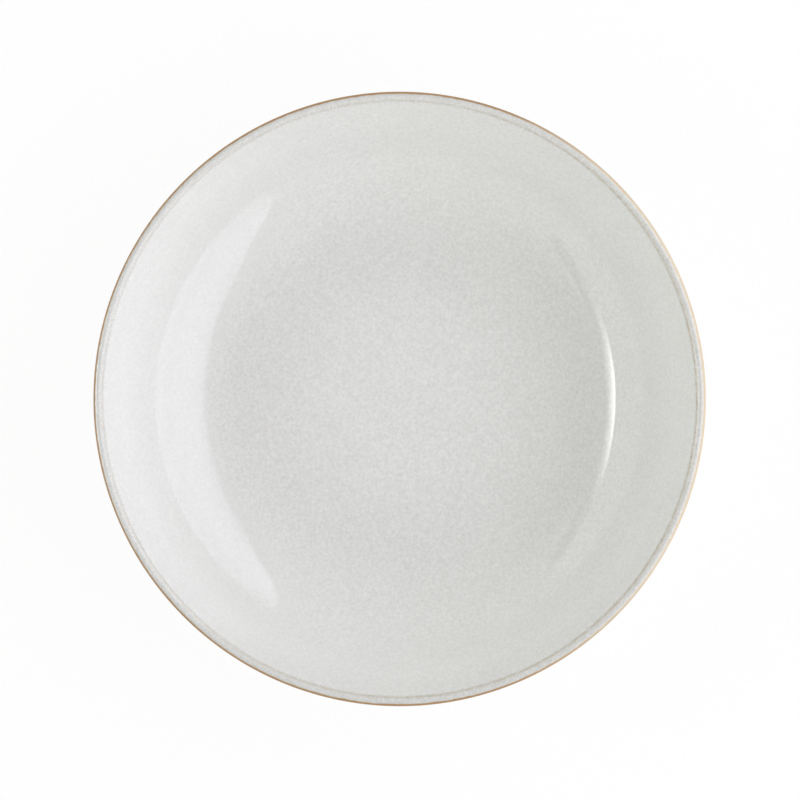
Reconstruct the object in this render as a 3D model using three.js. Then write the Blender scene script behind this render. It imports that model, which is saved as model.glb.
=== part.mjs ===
// A stoneware pasta bowl: a fired clay body of revolution and the coats fused to it.
// Millimetres, +Z up, standing on z = 0. Sizes are over the glaze unless a note says otherwise.
import * as THREE from 'three';

// The bowl as a whole
const rimDiameter = 220;
const bowlHeight = 50;

// Inside and wall
const wellDiameter = 102; // the flat part of the floor
const floorThickness = 5.5;
const wallLean = 62; // degrees, the wall's slope where it meets the rim
const coveShare = 0.75; // the share of the wall's rise that belongs to the tight curve

// Rim
const rimWidth = 3.45;
const innerEdgeRadius = 1.6;
const outerEdgeRadius = 1.55;
const crownInside = 35; // degrees, how far the crown tips inwards where it meets the inner edge
const crownOutside = 25; // degrees, how far it tips outwards where it meets the outer edge

// Foot ring, measured on the bare clay
const footDiameter = 116;
const footWidth = 5;
const footHeight = 4; // from the table up to the glazed underside
const footFillet = 2;
const footEdgeRadius = 0.7;

// Coats
const glazeThickness = 0.5;
const coatClearance = 0.05; // between a coat and the clay, and between one coat and the next
const bareFoot = 1.5; // the glaze stops this far above the table

// Fineness of the facets
const sides = 48; // around the axis
const chordError = 0.1; // how far a chord may leave its arc

// Heights, radii and angles that follow from the sizes above
const rimRadius = rimDiameter / 2;
const wellRadius = wellDiameter / 2;
const footOutside = footDiameter / 2;
const footInside = footOutside - footWidth;
const floorLevel = footHeight + floorThickness;
const lean = THREE.MathUtils.degToRad(wallLean);
const insideTilt = THREE.MathUtils.degToRad(crownInside);
const outsideTilt = THREE.MathUtils.degToRad(crownOutside);

// Directions in the half section, where x runs out from the axis and y runs up
const upward = Math.PI / 2;
const outward = 0;
const downward = -Math.PI / 2;
const inward = -Math.PI;

const point = (x, y) => new THREE.Vector2(x, y);
const direction = (angle) => point(Math.cos(angle), Math.sin(angle));
const along = (start, angle, distance) => direction(angle).multiplyScalar(distance).add(start);

// Every stretch of the section is a function of the depth below the finished surface.
// An arc turns its outward normal from one angle to another, and a hollow arc has a negative radius.
function arc(centre, radius, from, to) {
  const chordAngle = 2 * Math.acos(1 - chordError / Math.max(Math.abs(radius), 2 * chordError));
  const steps = Math.ceil(Math.abs(to - from) / chordAngle);
  const normals = Array.from({ length: steps + 1 }, (_, i) => THREE.MathUtils.lerp(from, to, i / steps));
  return (depth) => normals.map((normal) => along(centre, normal, radius - depth));
}

// One end of a straight stretch that faces the given way.
function corner(x, y, facing) {
  return (depth) => [along(point(x, y), facing, -depth)];
}

// Two tangent arcs, the cove and the wall, from a level start to an end that has the wall's lean.
function wallArcs(start, end) {
  const span = end.clone().sub(start);
  const share = coveShare / (1 - coveShare);
  const a = 2 * share * (1 - Math.cos(lean));
  const b = 2 * (share * span.x + span.dot(direction(lean)));
  const reach = (Math.sqrt(b * b + 4 * a * span.lengthSq()) - b) / (2 * a);
  const bend = along(end, lean, -reach).sub(along(start, 0, share * reach)).angle();
  const coveRadius = (share * reach) / Math.tan(bend / 2);
  const wallRadius = reach / Math.tan((lean - bend) / 2);
  return {
    bend,
    coveRadius,
    wallRadius,
    coveCentre: along(start, upward, coveRadius),
    wallCentre: along(end, upward + lean, wallRadius),
  };
}

// Rim: an inner edge, a crown and an outer edge, each an arc tangent to the next
const innerEdgeReach = innerEdgeRadius * (Math.sin(lean) - Math.sin(insideTilt));
const outerEdgeReach = outerEdgeRadius * (1 - Math.sin(outsideTilt));
const crownReach = rimWidth - innerEdgeReach - outerEdgeReach;
const crownRadius = crownReach / (Math.sin(insideTilt) + Math.sin(outsideTilt));
const crownOffset = rimRadius - outerEdgeReach - crownRadius * Math.sin(outsideTilt);
const crownCentre = point(crownOffset, bowlHeight - crownRadius);
const innerEdgeCentre = along(crownCentre, upward + insideTilt, crownRadius - innerEdgeRadius);
const outerEdgeCentre = along(crownCentre, upward - outsideTilt, crownRadius - outerEdgeRadius);
const innerEdge = arc(innerEdgeCentre, innerEdgeRadius, upward + lean, upward + insideTilt);
const crown = arc(crownCentre, crownRadius, upward + insideTilt, upward - outsideTilt);
const outerEdge = arc(outerEdgeCentre, outerEdgeRadius, upward - outsideTilt, lean - upward);

// Inside: the flat well, the cove and the wall, as far as the inner edge
const innerTop = along(innerEdgeCentre, upward + lean, innerEdgeRadius);
const inner = wallArcs(point(wellRadius, floorLevel), innerTop);
const wellMiddle = corner(0, floorLevel, upward);
const innerCove = arc(inner.coveCentre, -inner.coveRadius, upward, upward + inner.bend);
const innerWall = arc(inner.wallCentre, -inner.wallRadius, upward + inner.bend, upward + lean);

// Outside: the wall and the cove, from the outer edge down to a fillet on the foot ring
const outerTop = along(outerEdgeCentre, lean - upward, outerEdgeRadius);
const outer = wallArcs(point(wellRadius, footHeight), outerTop);
const filletRadius = footFillet - glazeThickness;
const filletReach = outer.coveRadius + filletRadius;
const footRoot = Math.asin((footOutside + footFillet - wellRadius) / filletReach) - upward;
const outerFilletCentre = along(outer.coveCentre, footRoot, filletReach);
const outerWall = arc(outer.wallCentre, outer.wallRadius, lean - upward, outer.bend - upward);
const outerCove = arc(outer.coveCentre, outer.coveRadius, outer.bend - upward, footRoot);
const outerFillet = arc(outerFilletCentre, -filletRadius, footRoot, outward);
const outerGlazeEnd = corner(footOutside + glazeThickness, bareFoot, outward);

// Foot ring: bare, flat underneath, with a rounded edge on either side
const outerFootEdge = arc(point(footOutside - footEdgeRadius, footEdgeRadius), footEdgeRadius, outward, downward);
const innerFootEdge = arc(point(footInside + footEdgeRadius, footEdgeRadius), footEdgeRadius, downward, inward);

// Underside: from the foot ring's inner side over a fillet to the middle
const innerFilletCentre = point(footInside - footFillet, footHeight - filletRadius);
const innerGlazeEnd = corner(footInside - glazeThickness, bareFoot, inward);
const innerFillet = arc(innerFilletCentre, -filletRadius, inward, downward);
const undersideMiddle = corner(0, footHeight, downward);

// The points of some stretches at one depth, without the repeats where they join.
function trace(stretches, depth) {
  const points = stretches.flatMap((stretch) => stretch(depth));
  return points.filter((p, i) => i === 0 || p.distanceTo(points[i - 1]) > coatClearance / 10);
}

// Draws one end of a line back by half the clearance, unless that end is on the axis.
function drawBack(end, next) {
  if (end.x > coatClearance) {
    end.lerp(next, coatClearance / 2 / end.distanceTo(next));
  }
}

// A coat's closed outline: its finished face, then the face that lies on the clay.
function coatOutline(stretches) {
  const faces = [trace(stretches, 0), trace(stretches, glazeThickness - coatClearance)];
  for (const face of faces) {
    drawBack(face[0], face[1]);
    drawBack(face.at(-1), face.at(-2));
  }
  const outline = [...faces[0], ...faces[1].reverse()];
  const onAxis = outline.some((p) => p.x < coatClearance);
  return onAxis ? startOnAxis(outline) : [...outline, outline[0].clone()];
}

// Turns a closed outline that has two neighbouring points on the axis so that it starts and ends there.
function startOnAxis(outline) {
  const first = outline.findIndex((p, i) => p.x < coatClearance && outline.at(i - 1).x < coatClearance);
  return [...outline.slice(first), ...outline.slice(0, first)];
}

// The clay's outline, under the coats and bare at the foot.
function clayOutline() {
  const inside = [wellMiddle, innerCove, innerWall];
  const rim = [innerEdge, crown, outerEdge];
  const outside = [outerWall, outerCove, outerFillet];
  const foot = [outerFootEdge, innerFootEdge];
  const underside = [innerFillet, undersideMiddle];
  return [
    ...trace([...inside, ...rim, ...outside], glazeThickness),
    ...trace(foot, 0),
    ...trace(underside, glazeThickness),
  ];
}

// Turns an outline about the axis and stands the result upright. The lathe faces outwards when its
// outline is read from the underside up, so the order is turned round.
function turned(name, outline, material) {
  const geometry = new THREE.LatheGeometry(outline.toReversed(), sides).rotateX(Math.PI / 2);
  const mesh = new THREE.Mesh(geometry, material);
  mesh.name = name;
  return mesh;
}

const clay = new THREE.MeshStandardMaterial({ color: 0xc9b295, roughness: 0.85, metalness: 0 });
const glaze = new THREE.MeshStandardMaterial({ color: 0xd9d9d5, roughness: 0.12, metalness: 0 });
const ironGlaze = new THREE.MeshStandardMaterial({ color: 0xa98a67, roughness: 0.25, metalness: 0 });

const bowl = new THREE.Group();
bowl.name = 'pasta_bowl';
bowl.add(
  turned('clay_body', clayOutline(), clay),
  turned('inside_glaze', coatOutline([wellMiddle, innerCove, innerWall]), glaze),
  turned('inner_rim_line', coatOutline([innerEdge]), ironGlaze),
  turned('rim_glaze', coatOutline([crown]), glaze),
  turned('outer_rim_line', coatOutline([outerEdge]), ironGlaze),
  turned('outside_glaze', coatOutline([outerWall, outerCove, outerFillet, outerGlazeEnd]), glaze),
  turned('underside_glaze', coatOutline([innerGlazeEnd, innerFillet, undersideMiddle]), glaze)
);

export default bowl;
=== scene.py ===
import math
import bmesh
import bpy
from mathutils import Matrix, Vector


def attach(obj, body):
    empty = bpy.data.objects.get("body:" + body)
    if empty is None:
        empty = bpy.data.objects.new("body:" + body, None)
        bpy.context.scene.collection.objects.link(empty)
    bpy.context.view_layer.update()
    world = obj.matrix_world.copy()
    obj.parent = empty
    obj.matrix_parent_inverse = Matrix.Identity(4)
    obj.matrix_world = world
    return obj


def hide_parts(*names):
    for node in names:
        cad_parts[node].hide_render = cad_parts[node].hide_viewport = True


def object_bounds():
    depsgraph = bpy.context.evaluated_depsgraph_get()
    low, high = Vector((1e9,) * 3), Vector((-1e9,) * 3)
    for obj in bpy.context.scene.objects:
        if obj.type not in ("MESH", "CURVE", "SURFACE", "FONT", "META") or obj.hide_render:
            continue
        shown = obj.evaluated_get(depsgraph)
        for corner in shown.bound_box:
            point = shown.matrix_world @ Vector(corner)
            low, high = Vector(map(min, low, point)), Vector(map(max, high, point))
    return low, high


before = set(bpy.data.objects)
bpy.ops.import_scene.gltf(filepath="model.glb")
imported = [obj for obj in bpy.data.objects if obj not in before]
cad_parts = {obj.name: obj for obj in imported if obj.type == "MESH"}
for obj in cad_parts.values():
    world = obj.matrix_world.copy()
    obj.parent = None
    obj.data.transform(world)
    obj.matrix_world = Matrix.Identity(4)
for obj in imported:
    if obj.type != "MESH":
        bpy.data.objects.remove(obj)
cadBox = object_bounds()
mm = 0.001

# Section of the bowl. x runs out from the axis and y up, and sizes are over the glaze.
bowl = {
    "rimRadius": cadBox[1].x,
    "height": cadBox[1].z,
    "wellRadius": 51 * mm,              # flat part of the floor
    "floorThickness": 5.5 * mm,
    "wallLean": math.radians(62),
    "coveShare": 0.75,                  # share of the wall that curves tightly
    "rimWidth": 3.45 * mm,
    "innerEdge": 1.5 * mm,
    "slope": 4.2 * mm,                  # flatter arc to either side of the crown
    "outerEdge": 1.2 * mm,
    "innerSteep": math.radians(36),     # where the inner edge meets its slope
    "innerGentle": math.radians(22),    # where that slope meets the crown
    "outerGentle": math.radians(18),    # where the crown meets the outer slope
    "outerSteep": math.radians(30),     # where that slope meets the outer edge
}
foot = {
    "radius": 58 * mm,                  # bare clay
    "width": 5 * mm,
    "height": 4 * mm,
    "fillet": 2 * mm,
    "edge": 0.7 * mm,
    "bare": 1.5 * mm,                   # glaze stops this far above the table
}
coat = {
    "thickness": 0.5 * mm,
    "gap": 0.05 * mm,                   # between the coat and the clay
}
fine = {
    "wall": 0.9 * mm,                   # step along a glazed face
    "edge": 0.16 * mm,                  # along the rim and the foot's sole
    "back": 4 * mm,                     # on the hidden face of a coat
    "clayTop": 3 * mm,                  # on the clay under the coats
    "clayUnder": 2 * mm,
    "arcSteps": 4,                      # fewest steps in an arc
    "weld": 1e-6,                       # points closer than this are one
    "crease": math.radians(50),         # sharper edges than this stay sharp
}
roll = coat["thickness"] - coat["gap"]

upward, outward, downward, inward = math.pi / 2, 0, -math.pi / 2, -math.pi


def along(start, angle, distance):
    return start + distance * Vector((math.cos(angle), math.sin(angle)))


# An arc turns its outward normal from one angle to another. A hollow arc has a negative radius.
def arc(centre, radius, start, end):
    return {"centre": centre, "radius": radius, "start": start, "end": end}


# A straight stretch: its two ends and the way that it faces
def straight(start, end, facing):
    return {"ends": (start, end), "facing": facing}


# Points of one stretch at a depth below the finished surface
def stretchPoints(stretch, depth, chord):
    if "ends" in stretch:
        start, end = stretch["ends"]
        count = max(1, math.ceil((end - start).length / chord))
        return [along(start.lerp(end, i / count), stretch["facing"], -depth) for i in range(count + 1)]
    turn = stretch["end"] - stretch["start"]
    count = max(fine["arcSteps"], math.ceil(abs(turn * stretch["radius"]) / chord))
    reach = stretch["radius"] - depth
    angles = [stretch["start"] + turn * i / count for i in range(count + 1)]
    return [along(stretch["centre"], angle, reach) for angle in angles]


def trace(stretches, depth, chord):
    points = []
    for stretch in stretches:
        for p in stretchPoints(stretch, depth, chord):
            if not points or (p - points[-1]).length > fine["weld"]:
                points.append(p)
    return points


# Two tangent arcs, cove and wall, from a level start to an end that has the wall's lean
def wallArcs(start, end):
    lean, share = bowl["wallLean"], bowl["coveShare"] / (1 - bowl["coveShare"])
    span = end - start
    a = 2 * share * (1 - math.cos(lean))
    b = 2 * (share * span.x + span.dot(Vector((math.cos(lean), math.sin(lean)))))
    reach = (math.sqrt(b * b + 4 * a * span.length_squared) - b) / (2 * a)
    chord = along(end, lean, -reach) - along(start, 0, share * reach)
    bend = math.atan2(chord.y, chord.x)
    coveRadius = share * reach / math.tan(bend / 2)
    wallRadius = reach / math.tan((lean - bend) / 2)
    coveCentre = along(start, upward, coveRadius)
    wallCentre = along(end, upward + lean, wallRadius)
    return bend, coveCentre, coveRadius, wallCentre, wallRadius


lean = bowl["wallLean"]
innerSteep, innerGentle = upward + bowl["innerSteep"], upward + bowl["innerGentle"]
outerSteep, outerGentle = upward - bowl["outerSteep"], upward - bowl["outerGentle"]
floorLevel = foot["height"] + bowl["floorThickness"]

# Rim: a narrow crown between two flatter slopes and two round edges, each an arc tangent to the next
innerEdgeReach = bowl["innerEdge"] * (math.cos(innerSteep) - math.cos(upward + lean))
innerSlopeReach = bowl["slope"] * (math.cos(innerGentle) - math.cos(innerSteep))
outerSlopeReach = bowl["slope"] * (math.cos(outerSteep) - math.cos(outerGentle))
outerEdgeReach = bowl["outerEdge"] * (1 - math.cos(outerSteep))
crownReach = bowl["rimWidth"] - innerEdgeReach - innerSlopeReach - outerSlopeReach - outerEdgeReach
crownRadius = crownReach / (math.cos(outerGentle) - math.cos(innerGentle))
crownOffset = bowl["rimRadius"] - outerEdgeReach - outerSlopeReach - crownRadius * math.cos(outerGentle)
crownCentre = Vector((crownOffset, bowl["height"] - crownRadius))
innerSlopeCentre = along(crownCentre, innerGentle, crownRadius - bowl["slope"])
outerSlopeCentre = along(crownCentre, outerGentle, crownRadius - bowl["slope"])
innerEdgeCentre = along(innerSlopeCentre, innerSteep, bowl["slope"] - bowl["innerEdge"])
outerEdgeCentre = along(outerSlopeCentre, outerSteep, bowl["slope"] - bowl["outerEdge"])
innerEdge = arc(innerEdgeCentre, bowl["innerEdge"], upward + lean, innerSteep)
innerSlope = arc(innerSlopeCentre, bowl["slope"], innerSteep, innerGentle)
crown = arc(crownCentre, crownRadius, innerGentle, outerGentle)
outerSlope = arc(outerSlopeCentre, bowl["slope"], outerGentle, outerSteep)
outerEdge = arc(outerEdgeCentre, bowl["outerEdge"], outerSteep, lean - upward)

wellRim = Vector((bowl["wellRadius"], floorLevel))
innerTop = along(innerEdgeCentre, upward + lean, bowl["innerEdge"])
bend, coveCentre, coveRadius, wallCentre, wallRadius = wallArcs(wellRim, innerTop)
well = straight(Vector((0, floorLevel)), wellRim, upward)
innerCove = arc(coveCentre, -coveRadius, upward, upward + bend)
innerWall = arc(wallCentre, -wallRadius, upward + bend, upward + lean)

footOutside = foot["radius"]
footInside = foot["radius"] - foot["width"]
outerTop = along(outerEdgeCentre, lean - upward, bowl["outerEdge"])
underRim = Vector((bowl["wellRadius"], foot["height"]))
bend, coveCentre, coveRadius, wallCentre, wallRadius = wallArcs(underRim, outerTop)
filletRadius = foot["fillet"] - coat["thickness"]
filletReach = coveRadius + filletRadius
footRoot = math.asin((footOutside + foot["fillet"] - bowl["wellRadius"]) / filletReach) - upward
outerFilletCentre = along(coveCentre, footRoot, filletReach)
outerWall = arc(wallCentre, wallRadius, lean - upward, bend - upward)
outerCove = arc(coveCentre, coveRadius, bend - upward, footRoot)
outerFillet = arc(outerFilletCentre, -filletRadius, footRoot, outward)
beadLevel = foot["bare"] + roll
outerBead = arc(Vector((footOutside + coat["gap"], beadLevel)), roll, outward, downward)

footSole = foot["edge"]
outerFootEdge = arc(Vector((footOutside - footSole, footSole)), footSole, outward, downward)
innerFootEdge = arc(Vector((footInside + footSole, footSole)), footSole, downward, inward)

innerFilletCentre = Vector((footInside - foot["fillet"], foot["height"] - filletRadius))
innerBead = arc(Vector((footInside - coat["gap"], beadLevel)), roll, downward, inward)
innerFillet = arc(innerFilletCentre, -filletRadius, inward, downward)
underside = straight(Vector((innerFilletCentre.x, foot["height"])), Vector((0, foot["height"])), downward)
print("section: floor", round(floorLevel / mm, 2), "mm, outer cove radius", round(coveRadius / mm, 1), "mm")


# A socket that takes part in Python arithmetic
class Wire:
    def __init__(self, node, output=0):
        self.node, self.tree = node, node.id_data
        self.socket = node.outputs[output] if node.outputs else None

    # Any node: its type, its settings, and values or links for its sockets
    @classmethod
    def add(cls, tree, kind, settings=None, sockets=None, output=0):
        node = tree.nodes.new(kind)
        for name, value in (settings or {}).items():
            setattr(node, name, value)
        for key, value in (sockets or {}).items():
            if isinstance(value, Wire):
                tree.links.new(value.socket, node.inputs[key])
            else:
                node.inputs[key].default_value = value
        return cls(node, output)

    def out(self, output):
        return Wire(self.node, output)

    def maths(self, operation, *values):
        return Wire.add(self.tree, "ShaderNodeMath", {"operation": operation}, dict(enumerate(values)))

    def __add__(self, other):
        return self.maths("ADD", self, other)

    def __radd__(self, other):
        return self.maths("ADD", other, self)

    def __sub__(self, other):
        return self.maths("SUBTRACT", self, other)

    def __rsub__(self, other):
        return self.maths("SUBTRACT", other, self)

    def __mul__(self, other):
        return self.maths("MULTIPLY", self, other)

    def __rmul__(self, other):
        return self.maths("MULTIPLY", other, self)

    def __truediv__(self, other):
        return self.maths("DIVIDE", self, other)

    def __rtruediv__(self, other):
        return self.maths("DIVIDE", other, self)

    def __pow__(self, other):
        return self.maths("POWER", self, other)

    def __rpow__(self, other):
        return self.maths("POWER", other, self)

    # 0 before low and 1 after high, smooth between
    def ease(self, low, high):
        settings = {"interpolation_type": "SMOOTHSTEP"}
        return Wire.add(self.tree, "ShaderNodeMapRange", settings, {0: self, 1: low, 2: high})

    # Noise about zero, with blobs of the given size
    def noise(self, size, detail, seed):
        sockets = {"Vector": self, "W": seed, "Scale": 1 / size, "Detail": detail}
        return Wire.add(self.tree, "ShaderNodeTexNoise", {"noise_dimensions": "4D"}, sockets) - 0.5


# Mixes two colours. Unclamped, the mix goes on past either of them.
def tint(factor, first, second, clamped=True):
    settings = {"data_type": "RGBA", "clamp_factor": clamped}
    return Wire.add(factor.tree, "ShaderNodeMix", settings, {0: factor, 6: first, 7: second}, 2)


# Wheel that turns an outline about the axis into a closed shell
wheel = {
    "Turns": 288,
    "Out Of Round": 0.0034,                     # share by which it is narrower along X
    "Ripple Size": 16 * mm,
    "Still Above": bowl["height"] - 4 * mm,     # no ripple from here up to the rim
    "Line Level": foot["bare"] + 0.2 * mm,      # the glaze's lower line wavers below this
    "Seed": 7.0,
}
drift = {
    "still": 8 * mm,                            # the ripple dies away over this height
    "line": 1.2 * mm,                           # the waver fades over this height
    "waver": 7 * mm,                            # size of the waver
}


def wheelTree():
    tree = bpy.data.node_groups.new("turnOnWheel", "GeometryNodeTree")
    kinds = {
        "Outline": "Object",
        "Turns": "Int",
        "Out Of Round": "Float",
        "Ripple": "Float",
        "Ripple Size": "Float",
        "Still Above": "Float",
        "Line Level": "Float",
        "Line Wave": "Float",
        "Seed": "Float",
        "Finish": "Material",
    }
    for name, kind in kinds.items():
        tree.interface.new_socket(name, in_out="INPUT", socket_type="NodeSocket" + kind)
    tree.interface.new_socket("Geometry", in_out="OUTPUT", socket_type="NodeSocketGeometry")

    given = Wire.add(tree, "NodeGroupInput")
    turns, seed = given.out("Turns"), given.out("Seed")
    outline = Wire.add(tree, "GeometryNodeObjectInfo", None, {"Object": given.out("Outline")}, "Geometry")
    count = Wire.add(tree, "GeometryNodeAttributeDomainSize", None, {"Geometry": outline}, "Point Count")
    sheet = Wire.add(tree, "GeometryNodeMeshGrid", None, {"Vertices X": turns + 1, "Vertices Y": count})

    # Each column of the sheet becomes the outline at one angle
    index = Wire.add(tree, "GeometryNodeInputIndex")
    share = (index + 0.5) / count
    column = share.maths("FLOOR", share)
    angle = column * (2 * math.pi) / turns
    place = Wire.add(tree, "GeometryNodeInputPosition")
    pick = {"Geometry": outline, "Value": place, "Index": index - column * count}
    spot = Wire.add(tree, "GeometryNodeSampleIndex", {"data_type": "FLOAT_VECTOR"}, pick)
    reach = Wire.add(tree, "ShaderNodeSeparateXYZ", None, {0: spot})
    x = reach * angle.maths("COSINE", angle) * (1 - given.out("Out Of Round"))
    y = reach * angle.maths("SINE", angle)
    turned = Wire.add(tree, "ShaderNodeCombineXYZ", None, {0: x, 1: y, 2: reach.out("Z")})
    shell = Wire.add(tree, "GeometryNodeSetPosition", None, {"Geometry": sheet, "Position": turned})
    joined = {"Geometry": shell, "Distance": fine["weld"]}
    shell = Wire.add(tree, "GeometryNodeMergeByDistance", None, joined)

    # Slow ripple of the fired glaze
    height = Wire.add(tree, "ShaderNodeSeparateXYZ", None, {0: place}, "Z")
    steady = given.out("Still Above")
    calm = height.ease(steady - drift["still"], steady)
    swell = place.noise(given.out("Ripple Size"), 1.0, seed) * given.out("Ripple") * (1 - calm)
    normal = Wire.add(tree, "GeometryNodeInputNormal")
    push = Wire.add(tree, "ShaderNodeVectorMath", {"operation": "SCALE"}, {0: normal, "Scale": swell})
    shell = Wire.add(tree, "GeometryNodeSetPosition", None, {"Geometry": shell, "Offset": push})

    # Unsteady lower line, where the foot was wiped
    level = given.out("Line Level")
    below = 1 - height.ease(level, level + drift["line"])
    waver = place.noise(drift["waver"], 2.0, seed) * given.out("Line Wave") * below
    lift = Wire.add(tree, "ShaderNodeCombineXYZ", None, {"Z": waver})
    shell = Wire.add(tree, "GeometryNodeSetPosition", None, {"Geometry": shell, "Offset": lift})

    shell = Wire.add(tree, "GeometryNodeSetShadeSmooth", None, {"Geometry": shell})
    shell = Wire.add(tree, "GeometryNodeRealizeInstances", None, {"Geometry": shell})
    finish = {"Geometry": shell, "Material": given.out("Finish")}
    shell = Wire.add(tree, "GeometryNodeSetMaterial", None, finish)
    Wire.add(tree, "NodeGroupOutput", None, {"Geometry": shell})
    return tree


wheelNodes = wheelTree()


# Turns one closed outline into a piece that stands for a CAD node
def turnPiece(node, outline, finish, slot, **settings):
    points = [(p.x, 0, p.y) for p in reversed(outline)]
    edges = [(i, i + 1) for i in range(len(points) - 1)]
    lineMesh = bpy.data.meshes.new(node + "Outline")
    lineMesh.from_pydata(points, edges, [])
    line = bpy.data.objects.new(node + "Outline", lineMesh)
    piece = bpy.data.objects.new(node + "Piece", bpy.data.meshes.new(node + "Start"))
    for item in (line, piece):
        bpy.context.scene.collection.objects.link(item)
    turning = piece.modifiers.new("turnOnWheel", "NODES")
    turning.node_group = wheelNodes
    values = {**wheel, **settings, "Outline": line, "Finish": finish}
    for socket in wheelNodes.interface.items_tree:
        if socket.in_out == "INPUT" and socket.name in values:
            turning[socket.identifier] = values[socket.name]
    view = bpy.context.evaluated_depsgraph_get()
    mesh = bpy.data.meshes.new_from_object(piece.evaluated_get(view))
    piece.modifiers.remove(turning)
    piece.data = mesh
    mesh.name = node + "Mesh"
    mesh.set_sharp_from_angle(angle=fine["crease"])
    bpy.data.objects.remove(line)
    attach(piece, "root")
    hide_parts(node)
    print("turned", node, len(mesh.polygons), "faces")


# A coat's outline: its finished face, then a plainer face on the clay
def coatOutline(stretches, chord):
    face = trace(stretches, 0, chord)
    back = trace(stretches, roll, fine["back"])
    closed = face[0].x > 0 and face[-1].x > 0
    outline = back + face[::-1] if face[-1].x == 0 else face + back[::-1]
    return outline + outline[:1] if closed else outline


def newFinish(name):
    material = bpy.data.materials.new(name)
    material.use_nodes = True
    tree = material.node_tree
    tree.nodes.clear()
    return material, tree


def surface(tree, sockets):
    shader = Wire.add(tree, "ShaderNodeBsdfPrincipled", None, sockets)
    Wire.add(tree, "ShaderNodeOutputMaterial", None, {"Surface": shader})


# Pale stoneware glaze. It thins up the wall and breaks to brown on the edges, with painted shade round the
# well and next to the outer line, and painted light on the edges' right side.
# Pairs are the start and the end of a soft change.
glaze = {
    "pale": (0.79, 0.79, 0.778, 1),
    "grey": (0.65, 0.65, 0.638, 1),
    "iron": (0.34, 0.195, 0.078, 1),        # the outer line and the foot line
    "litSideTan": (0.57, 0.465, 0.315, 1),       # the same, lighter with painted light on their right side
    "taupe": (0.45, 0.385, 0.29, 1),        # the inner line
    "edgeShadeGrey": (0.50, 0.50, 0.48, 1),           # painted shade next to the outer line, on the left
    "edgeShadeShare": 0.5,
    "roughness": 0.04,
    "thinRoughness": 0.07,
    "ior": 1.5,
    "peel": 0.9 * mm,                       # size of the orange peel
    "peelDepth": 0.004 * mm,
    # Inner line, stronger to the right and the front
    "innerTurn": 0.25,                      # its crest, in radians below the inner slope
    "innerLine": 0.55 * mm,                 # reach inside the crest
    "innerFade": 0.95 * mm,                 # and towards the crown
    "innerDepth": (-2 * mm, -1 * mm),       # it ends this far below the crest
    "innerWander": 3 * mm,
    "innerStray": 1.2,                      # share of its reach by which it wanders
    "innerRight": 0.45,
    "innerFront": 0.25,
    "patch": 1.6 * mm,                      # size of its broken patches
    "patchLevel": 0.4,
    "patchContrast": 1.2,
    # Outer line, narrower to the left and the right
    "outerTurn": math.radians(15),          # its crest, above level
    "outerLine": 1.5 * mm,
    "outerNarrow": 0.17,
    "outerBorder": (0.6, 1.0),              # shares of its reach
    "edgeShadeBorder": (0.8, 1.5),
    "litSide": (0.25, 0.9),                # shares of the rim's radius, to the right, where the edge lines take painted light
    "stray": 2.6 * mm,
    "outerStray": 0.4,
    # Foot line
    "footLine": 1.1 * mm,
    "footStart": 0.2 * mm,
    "footStray": 0.6,
    # Mottle
    "grain": 1.1 * mm,
    "contrast": 1.6,                        # of the grain on the floor
    "wallContrast": 1.2,
    "wallRise": (4 * mm, 20 * mm),          # above the floor
    "calm": 0.5,                            # how far the grain fades on the left of the cove
    "wallCalm": 0.28,                       # and of the wall above it
    "calmRise": (11.5 * mm, 14 * mm),
    "wallCalmRise": (22 * mm, 25 * mm),
    "calmSide": (-55 * mm, -25 * mm),
    "blot": 2.4 * mm,
    "blotShare": 0.3,
    "fleck": 0.55 * mm,                     # on the rim
    "fleckShare": 2.2,
    "fleckRise": (46 * mm, 48.5 * mm),
    "cloud": 14 * mm,
    "cloudShare": 0.2,
    # Thickness of the coat and painted shade, from the mean of grey and pale
    "mean": 0.5,
    "ringShade": 0.08,                           # how far the painted shade round the well leans to grey
    "ringShadeStart": (22 * mm, 52 * mm),
    "ringShadeEnd": (60 * mm, 72 * mm),
    "ringShadeLevel": 0.8,
    "ringShadeLean": 0.7,                        # more of it to the left
    "ringShadeBack": 0.6,                        # and the back
    "thinning": 0.65,                       # how far the thin glaze leans to grey
    "wallThin": 0.28,
    "wallThinFront": 0.14,                  # more of it at the front
    "wallThinRise": (34 * mm, 46 * mm),
    "rimThin": 0.72,
    "rimThinRise": (47.5 * mm, 49.5 * mm),
    "flank": 0.08,                          # and the wall towards the front and the back
    "flankRise": (20 * mm, 32 * mm),
}


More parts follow.
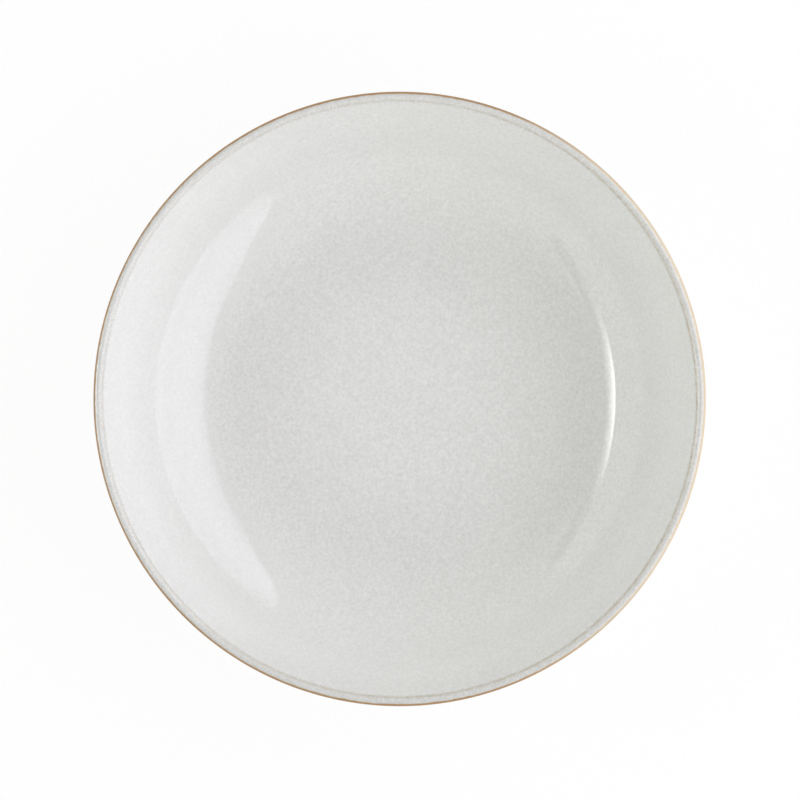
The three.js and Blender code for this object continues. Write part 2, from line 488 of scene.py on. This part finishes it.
def glazeFinish(name):
    material, tree = newFinish(name)
    place = Wire.add(tree, "ShaderNodeTexCoord", output="Object")
    spot = Wire.add(tree, "ShaderNodeSeparateXYZ", None, {0: place})
    x, y, z = spot / (1 - wheel["Out Of Round"]), spot.out("Y"), spot.out("Z")
    radius = (x * x + y * y) ** 0.5

    # Reach of a point of the surface from a ring round the axis
    def fromRing(ring):
        aside, up = radius - ring.x, z - ring.y
        return (aside * aside + up * up) ** 0.5

    # Inner line, where the glaze runs thin, with an uneven border
    innerCrest = along(innerEdgeCentre, innerSteep + glaze["innerTurn"], bowl["innerEdge"])
    wander = place.noise(glaze["innerWander"], 3.0, seed=10.0) * (glaze["innerStray"] * glaze["innerLine"])
    inner = radius - innerCrest.x + wander
    sided = 1 + (glaze["innerRight"] * x - glaze["innerFront"] * y) / bowl["rimRadius"]
    broken = glaze["patchContrast"] * place.noise(glaze["patch"], 3.0, seed=9.0)
    patch = (glaze["patchLevel"] + broken) * sided
    patch = patch * z.ease(*[innerCrest.y + depth for depth in glaze["innerDepth"]])
    innerThin = inner.ease(-glaze["innerLine"], 0) * (1 - inner.ease(0, glaze["innerFade"])) * patch

    # Outer line and foot line, with painted light on their right side
    outerCrest = along(outerEdgeCentre, glaze["outerTurn"], bowl["outerEdge"])
    stray = place.noise(glaze["stray"], 3.0, seed=3.0)
    across = x / bowl["rimRadius"]
    narrow = 1 + glaze["outerNarrow"] * across * across
    outer = fromRing(outerCrest) * narrow + stray * (glaze["outerStray"] * glaze["outerLine"])
    litSide = across.ease(*glaze["litSide"])
    outerThin = 1 - outer.ease(*[share * glaze["outerLine"] for share in glaze["outerBorder"]])
    # Band just inside the outer line: painted shade on the left, painted light on the right
    edgeShading = 1 - outer.ease(*[share * glaze["outerLine"] for share in glaze["edgeShadeBorder"]])
    lower = z + stray * (glaze["footStray"] * glaze["footLine"])
    footThin = 1 - lower.ease(foot["bare"] + glaze["footStart"], foot["bare"] + glaze["footLine"])
    thin = outerThin.maths("MAXIMUM", outerThin, footThin)

    # Fine mottle, calmer up the wall and on its left
    rise = z.ease(*[floorLevel + height for height in glaze["wallRise"]])
    contrast = glaze["contrast"] + (glaze["wallContrast"] - glaze["contrast"]) * rise
    calm = glaze["calm"] + (glaze["wallCalm"] - glaze["calm"]) * z.ease(*glaze["wallCalmRise"])
    calm = calm * z.ease(*glaze["calmRise"]) * (1 - x.ease(*glaze["calmSide"]))
    contrast = contrast * (1 - calm)
    specks = contrast * place.noise(glaze["grain"], 1.0, seed=1.0)
    specks = specks + glaze["blotShare"] * place.noise(glaze["blot"], 1.0, seed=7.0)
    flecks = glaze["fleckShare"] * place.noise(glaze["fleck"], 1.0, seed=11.0)
    specks = specks + flecks * z.ease(*glaze["fleckRise"])

    # Thickness of the coat, and painted shade round the well
    # Painted shade in a ring round the well, more to the left and the back
    ringShade = radius.ease(*glaze["ringShadeStart"]) * (1 - radius.ease(*glaze["ringShadeEnd"]))
    tilted = glaze["ringShadeLean"] * (x - glaze["ringShadeBack"] * y) / bowl["wellRadius"]
    ringShade = ringShade * (glaze["ringShadeLevel"] - tilted)
    wallThin = glaze["wallThin"] - glaze["wallThinFront"] * y / bowl["rimRadius"]
    thinning = z.ease(*glaze["wallThinRise"]) * wallThin
    thinning = thinning + glaze["rimThin"] * z.ease(*glaze["rimThinRise"])
    flank = (y / bowl["rimRadius"]) ** 2 * z.ease(*glaze["flankRise"])
    level = glaze["mean"] - glaze["ringShade"] * ringShade - glaze["thinning"] * thinning - glaze["flank"] * flank

    mottle = level + specks + glaze["cloudShare"] * place.noise(glaze["cloud"], 2.0, seed=2.0)
    colour = tint(mottle, glaze["grey"], glaze["pale"], clamped=False)
    colour = tint(innerThin, colour, glaze["taupe"])
    # Painted shade next to the outer line on the left, painted light there on the right
    colour = tint(edgeShading * glaze["edgeShadeShare"], colour, tint(litSide, glaze["edgeShadeGrey"], glaze["litSideTan"]))
    # Brown edge lines, lighter tan on their right side as painted light
    colour = tint(thin, colour, tint(litSide, glaze["iron"], glaze["litSideTan"]))
    roughness = glaze["roughness"] + (glaze["thinRoughness"] - glaze["roughness"]) * thin
    peel = place.noise(glaze["peel"], 0.0, seed=4.0)
    bump = {"Strength": 1.0, "Distance": glaze["peelDepth"], "Height": peel}
    normal = Wire.add(tree, "ShaderNodeBump", None, bump)
    surface(tree, {"Base Color": colour, "Roughness": roughness, "Normal": normal, "IOR": glaze["ior"]})
    return material


# Bare stoneware of the foot, ground flat underneath
clay = {
    "body": (0.53, 0.40, 0.27, 1),
    "light": (0.66, 0.54, 0.40, 1),
    "grit": (0.25, 0.16, 0.09, 1),
    "toast": (0.40, 0.25, 0.14, 1),         # by the glaze's edge
    "toastShare": 0.8,
    "toastStart": 0.7 * mm,
    "toastWander": 3 * mm,
    "toastStray": 0.8 * mm,
    "grain": 0.7 * mm,
    "grainContrast": 2.0,
    "grainDepth": 0.12 * mm,
    "gritSize": 1.6 * mm,
    "gritBorder": (0.12, 0.2),              # shares of a cell
    "gritPatch": 5 * mm,                    # the grit lies in patches
    "gritPatchBorder": (-0.05, 0.15),
    "roughness": 0.86,
}


def clayFinish(name):
    material, tree = newFinish(name)
    place = Wire.add(tree, "ShaderNodeTexCoord", output="Object")
    z = Wire.add(tree, "ShaderNodeSeparateXYZ", None, {0: place}, "Z")
    grain = place.noise(clay["grain"], 4.0, seed=5.0)
    colour = tint(0.5 + clay["grainContrast"] * grain, clay["body"], clay["light"])
    cells = {"Vector": place, "Scale": 1 / clay["gritSize"]}
    cell = Wire.add(tree, "ShaderNodeTexVoronoi", None, cells, "Distance")
    patch = place.noise(clay["gritPatch"], 2.0, seed=6.0)
    speck = (1 - cell.ease(*clay["gritBorder"])) * patch.ease(*clay["gritPatchBorder"])
    colour = tint(speck, colour, clay["grit"])
    wander = place.noise(clay["toastWander"], 2.0, seed=8.0) * clay["toastStray"]
    scorch = (z + wander).ease(clay["toastStart"], foot["bare"])
    colour = tint(scorch * clay["toastShare"], colour, clay["toast"])
    bump = {"Strength": 1.0, "Distance": clay["grainDepth"], "Height": grain}
    normal = Wire.add(tree, "ShaderNodeBump", None, bump)
    surface(tree, {"Base Color": colour, "Roughness": clay["roughness"], "Normal": normal})
    return material


paleGlaze = glazeFinish("paleGlaze")
ironGlaze = glazeFinish("ironGlaze")
bareClay = clayFinish("bareClay")
print("finishes made")

wallDrift = {"Ripple": 0.04 * mm}
footDrift = {"Ripple": 0.04 * mm, "Line Wave": 1.0 * mm}
insideRun = [well, innerCove, innerWall]
rimRun = [innerSlope, crown, outerSlope]
outsideRun = [outerWall, outerCove, outerFillet]
undersideRun = [innerFillet, underside]
turnPiece("inside_glaze", coatOutline(insideRun, fine["wall"]), paleGlaze, "glaze", **wallDrift)
turnPiece("inner_rim_line", coatOutline([innerEdge], fine["edge"]), ironGlaze, "iron_glaze")
turnPiece("rim_glaze", coatOutline(rimRun, fine["edge"]), paleGlaze, "glaze")
turnPiece("outer_rim_line", coatOutline([outerEdge], fine["edge"]), ironGlaze, "iron_glaze")
outsideCoat = coatOutline(outsideRun + [outerBead], fine["wall"])
turnPiece("outside_glaze", outsideCoat, paleGlaze, "glaze", **footDrift)
undersideCoat = coatOutline([innerBead] + undersideRun, fine["wall"])
turnPiece("underside_glaze", undersideCoat, paleGlaze, "glaze", **footDrift)
clayTop = trace(insideRun + [innerEdge] + rimRun + [outerEdge], coat["thickness"], fine["clayTop"])
clayOutside = trace(outsideRun, coat["thickness"], fine["clayUnder"])
claySole = trace([outerFootEdge, innerFootEdge], 0, fine["edge"])
clayUnder = trace(undersideRun, coat["thickness"], fine["clayUnder"])
turnPiece("clay_body", clayTop + clayOutside + claySole + clayUnder, bareClay, "clay")


def newMesh(name, points, faces):
    mesh = bpy.data.meshes.new(name)
    mesh.from_pydata(points, [], faces)
    item = bpy.data.objects.new(name, mesh)
    bpy.context.scene.collection.objects.link(item)
    return item


# Studio: a wide key panel on the right, a strip over a dim card on the left, and a soft surround.
# Lengths are in metres.
key = {
    "x": 0.8,
    "centre": 0.035,
    "outline": [(0.6, 1.03), (1.1, 0.75), (1.27, 0.5), (1.31, 0.02)],    # one half, from the top down
    "roll": 0.045,                      # rise of the outline from side to side
    "core": 0.68,                       # height of the brightest part
    "spread": 0.35,
    "from": (1.88, 1.87, 1.96, 1),
    "to": (2.84, 2.83, 2.98, 1),        # at the core
}
strip = {
    "x": -0.8,
    "half": 0.85,
    "core": 0.255,                      # spread of the glow to either side
    "tail": 0.09,                       # share of the glow that goes on to the ends
    "low": 0.577,
    "high": 0.8,
    "from": (0, 0, 0, 1),
    "to": (14, 14, 14, 1),              # at the middle of the lower edge
}
card = {
    "x": -0.82,
    "half": 0.9,
    "low": 0.05,
    "high": 0.577,
    "from": (1.38, 1.44, 1.33, 1),      # at the ends and the floor
    "to": (1.78, 1.82, 1.74, 1),
}
surround = {
    "radius": 8.0,
    "facets": 4,                        # times that its faces are split
    "right": (0.77, 0.77, 0.745, 1),    # near the horizon
    "left": (1.25, 1.26, 1.185, 1),
    "middle": 0.5,                      # mix of the two straight ahead
    "front": 0.2,                       # how far the front leans to the left's colour
    "upper": (0.70, 0.70, 0.68, 1),
    "top": (0.45, 0.43, 0.45, 1),       # overhead, where the camera hangs
    "horizon": math.radians(30),        # the low glow ends here
    "crown": math.radians(65),          # the dark overhead starts here
    "dim": 0.8,                         # how far the high left darkens
    "dimColour": (0, 0, 0, 1),
    "dimSide": (0.35, 0.95),            # share of the way that points left
    "dimRise": (0.6, 0.72),             # and up
    "overOne": 1.0001,                  # keeps the share finite straight up
}
floorLook = {"radius": 4.0, "sides": 64, "colour": (0.9, 0.9, 0.9, 1), "whiteShare": 0.9}


# Gives a staged mesh a glow that the camera doesn't see
def glowing(item, material, tree, colour):
    light = Wire.add(tree, "ShaderNodeEmission", None, {"Color": colour, "Strength": 1.0})
    Wire.add(tree, "ShaderNodeOutputMaterial", None, {"Surface": light})
    item.data.materials.append(material)
    item.visible_camera = False


# Lamp panel that glows from one colour to another, by the share that a rule gives each point
def panel(name, lamp, corners, rule):
    item = newMesh(name, [(lamp["x"], y, z) for y, z in corners], [tuple(range(len(corners)))])
    material, tree = newFinish(name + "Glow")
    place = Wire.add(tree, "ShaderNodeTexCoord", output="Object")
    side = Wire.add(tree, "ShaderNodeSeparateXYZ", None, {0: place}, "Y")
    glowing(item, material, tree, tint(rule(side, side.out("Z")), lamp["from"], lamp["to"]))


def keyRule(side, up):
    return 1 - ((up - key["core"]) / key["spread"]) ** 2


def stripRule(side, up):
    fall = (strip["high"] - up) / (strip["high"] - strip["low"])
    fall = fall.maths("MAXIMUM", fall, 0.0)
    tail = strip["tail"] * (1 - (side / strip["half"]) ** 2)
    return fall * fall * (math.e ** (0 - (side / strip["core"]) ** 2) + tail)


def cardRule(side, up):
    return (1 - (side / card["half"]) ** 2) * up / card["high"]


# The other half of an outline, so that it closes
def mirrored(half):
    return half + [(-y, z) for y, z in reversed(half)]


def oblong(lamp):
    return mirrored([(lamp["half"], lamp["high"]), (lamp["half"], lamp["low"])])


keyCorners = [(key["centre"] + y, z * (1 + key["roll"] * y)) for y, z in mirrored(key["outline"])]
panel("keyPanel", key, keyCorners, keyRule)
panel("stripPanel", strip, oblong(strip), stripRule)
panel("cardPanel", card, oblong(card), cardRule)

# The surround is a far dome round the studio, and the world behind it is plain white
tent = bmesh.new()
bmesh.ops.create_icosphere(tent, subdivisions=surround["facets"], radius=surround["radius"])
dome = newMesh("surroundDome", [], [])
tent.to_mesh(dome.data)
tent.free()
domeGlow, sky = newFinish("surroundGlow")
domeGlow.cycles.emission_sampling = "NONE"      # wide and soft, so rays that leave the bowl find it
spot = Wire.add(sky, "ShaderNodeTexCoord", output="Object")
heading = Wire.add(sky, "ShaderNodeVectorMath", {"operation": "NORMALIZE"}, {0: spot})
way = Wire.add(sky, "ShaderNodeSeparateXYZ", None, {0: heading})
rise = way.out("Z")
crownRise = math.sin(surround["crown"])
leftShare = surround["middle"] - surround["middle"] * way - surround["front"] * way.out("Y")
glow = tint(leftShare, surround["right"], surround["left"])
glow = tint(rise.ease(math.sin(surround["horizon"]), crownRise), glow, surround["upper"])
overhead = rise.ease(crownRise, 1)
leftness = (0 - way) / ((surround["overOne"] - rise * rise) ** 0.5)
dimShare = leftness.ease(*surround["dimSide"]) * rise.ease(*surround["dimRise"]) * (1 - overhead)
glow = tint(dimShare * surround["dim"], glow, surround["dimColour"])
glow = tint(overhead, glow, surround["top"])
glowing(dome, domeGlow, sky, glow)

world = bpy.data.worlds.new("backdrop")
bpy.context.scene.world = world
world.use_nodes = True
world.node_tree.nodes.clear()
backdrop = Wire.add(world.node_tree, "ShaderNodeBackground", None, {"Color": (1, 1, 1, 1), "Strength": 1.0})
Wire.add(world.node_tree, "ShaderNodeOutputWorld", None, {"Surface": backdrop})

# White floor that keeps a share of its own shading, and so the bowl's shadow
ring = [2 * math.pi * i / floorLook["sides"] for i in range(floorLook["sides"])]
floorPoints = [(floorLook["radius"] * math.cos(a), floorLook["radius"] * math.sin(a), 0) for a in ring]
floor = newMesh("floor", floorPoints, [tuple(range(floorLook["sides"]))])
floorPaint, floorTree = newFinish("floorPaint")
matte = Wire.add(floorTree, "ShaderNodeBsdfDiffuse", None, {"Color": floorLook["colour"]})
white = Wire.add(floorTree, "ShaderNodeEmission", None, {"Strength": 1.0})
ray = Wire.add(floorTree, "ShaderNodeLightPath", output="Is Camera Ray")
shown = ray + ray.out("Is Glossy Ray") + ray.out("Is Transmission Ray")
shown = shown.maths("MINIMUM", shown, 1.0) * floorLook["whiteShare"]
both = Wire.add(floorTree, "ShaderNodeMixShader", None, {0: shown, 1: matte, 2: white})
Wire.add(floorTree, "ShaderNodeOutputMaterial", None, {"Surface": both})
floor.data.materials.append(floorPaint)
print("studio lit")

# Camera straight above, framed as the photograph
photo = {"size": 800, "radius": 307.35, "across": 399.65, "down": 398.95}    # pixels
camera = {"distance": 1.5, "sensor": 36.0, "reach": 20.0}    # metres, and millimetres for the sensor
lens = bpy.data.cameras.new("topCamera")
lens.sensor_width = camera["sensor"]
lens.lens = camera["sensor"] * photo["radius"] / photo["size"] * camera["distance"] / bowl["rimRadius"]
lens.clip_end = camera["reach"]
pixel = bowl["rimRadius"] / photo["radius"]
topCamera = bpy.data.objects.new("topCamera", lens)
topCamera.location = (
    (photo["size"] / 2 - photo["across"]) * pixel,
    (photo["down"] - photo["size"] / 2) * pixel,
    outerEdgeCentre.y + camera["distance"],
)
bpy.context.scene.collection.objects.link(topCamera)
bpy.context.scene.camera = topCamera
bpy.context.scene.view_settings.view_transform = "Standard"
print("camera set")
